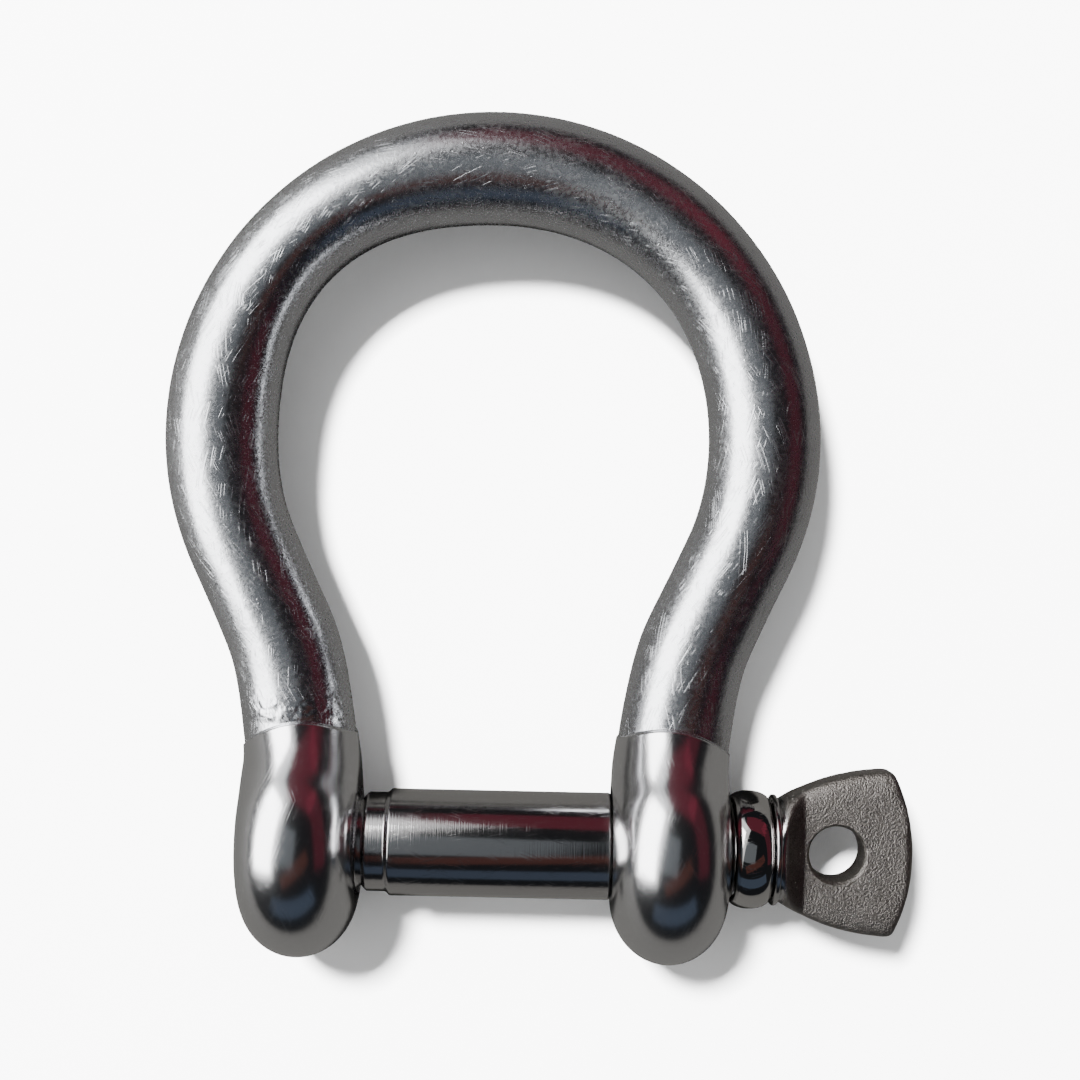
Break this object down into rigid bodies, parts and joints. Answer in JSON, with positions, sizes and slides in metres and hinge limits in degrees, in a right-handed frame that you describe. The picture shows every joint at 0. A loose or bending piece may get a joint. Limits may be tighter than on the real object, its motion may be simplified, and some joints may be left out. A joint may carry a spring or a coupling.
{
  "type": "bow shackle",
  "caption": "Screw-pin bow shackle: a round bar bent to a wide bow with two forged eyes, closed by a threaded pin with a flat fan-shaped head.",
  "frame": {"origin": "on the pin's axis, midway between the two eyes", "axes": "+X along the pin towards its head, +Y from the pin towards the crown of the bow, +Z square to the plane of the bow"},
  "size_m": [0.0676, 0.076, 0.0206],
  "materials": {
    "bow_steel": "polished stainless steel bar with fine scratches, eyes polished brighter",
    "collar_steel": "mirror-polished stainless steel",
    "pin_steel": "turned and polished shank, rough forged grey-brown head"
  },
  "bodies": {
    "bow": {"bow": "bow_steel"},
    "pin_collar": {"pin_collar": "collar_steel"},
    "screw_pin": {"screw_pin": "pin_steel"}
  },
  "joints": [
    {"name": "pin_travel", "type": "slide", "parent": "bow", "child": "pin_collar", "axis": [1, 0, 0], "range_m": [0, 0.045]},
    {"name": "pin_turn", "type": "hinge", "parent": "pin_collar", "child": "screw_pin", "pos_m": [0, 0, 0], "axis": [1, 0, 0], "range_deg": [0, 10802]}
  ],
  "couplings": [
    {"joint": "pin_turn", "follows": "pin_travel", "rad_per_m": 4188.8}
  ]
}
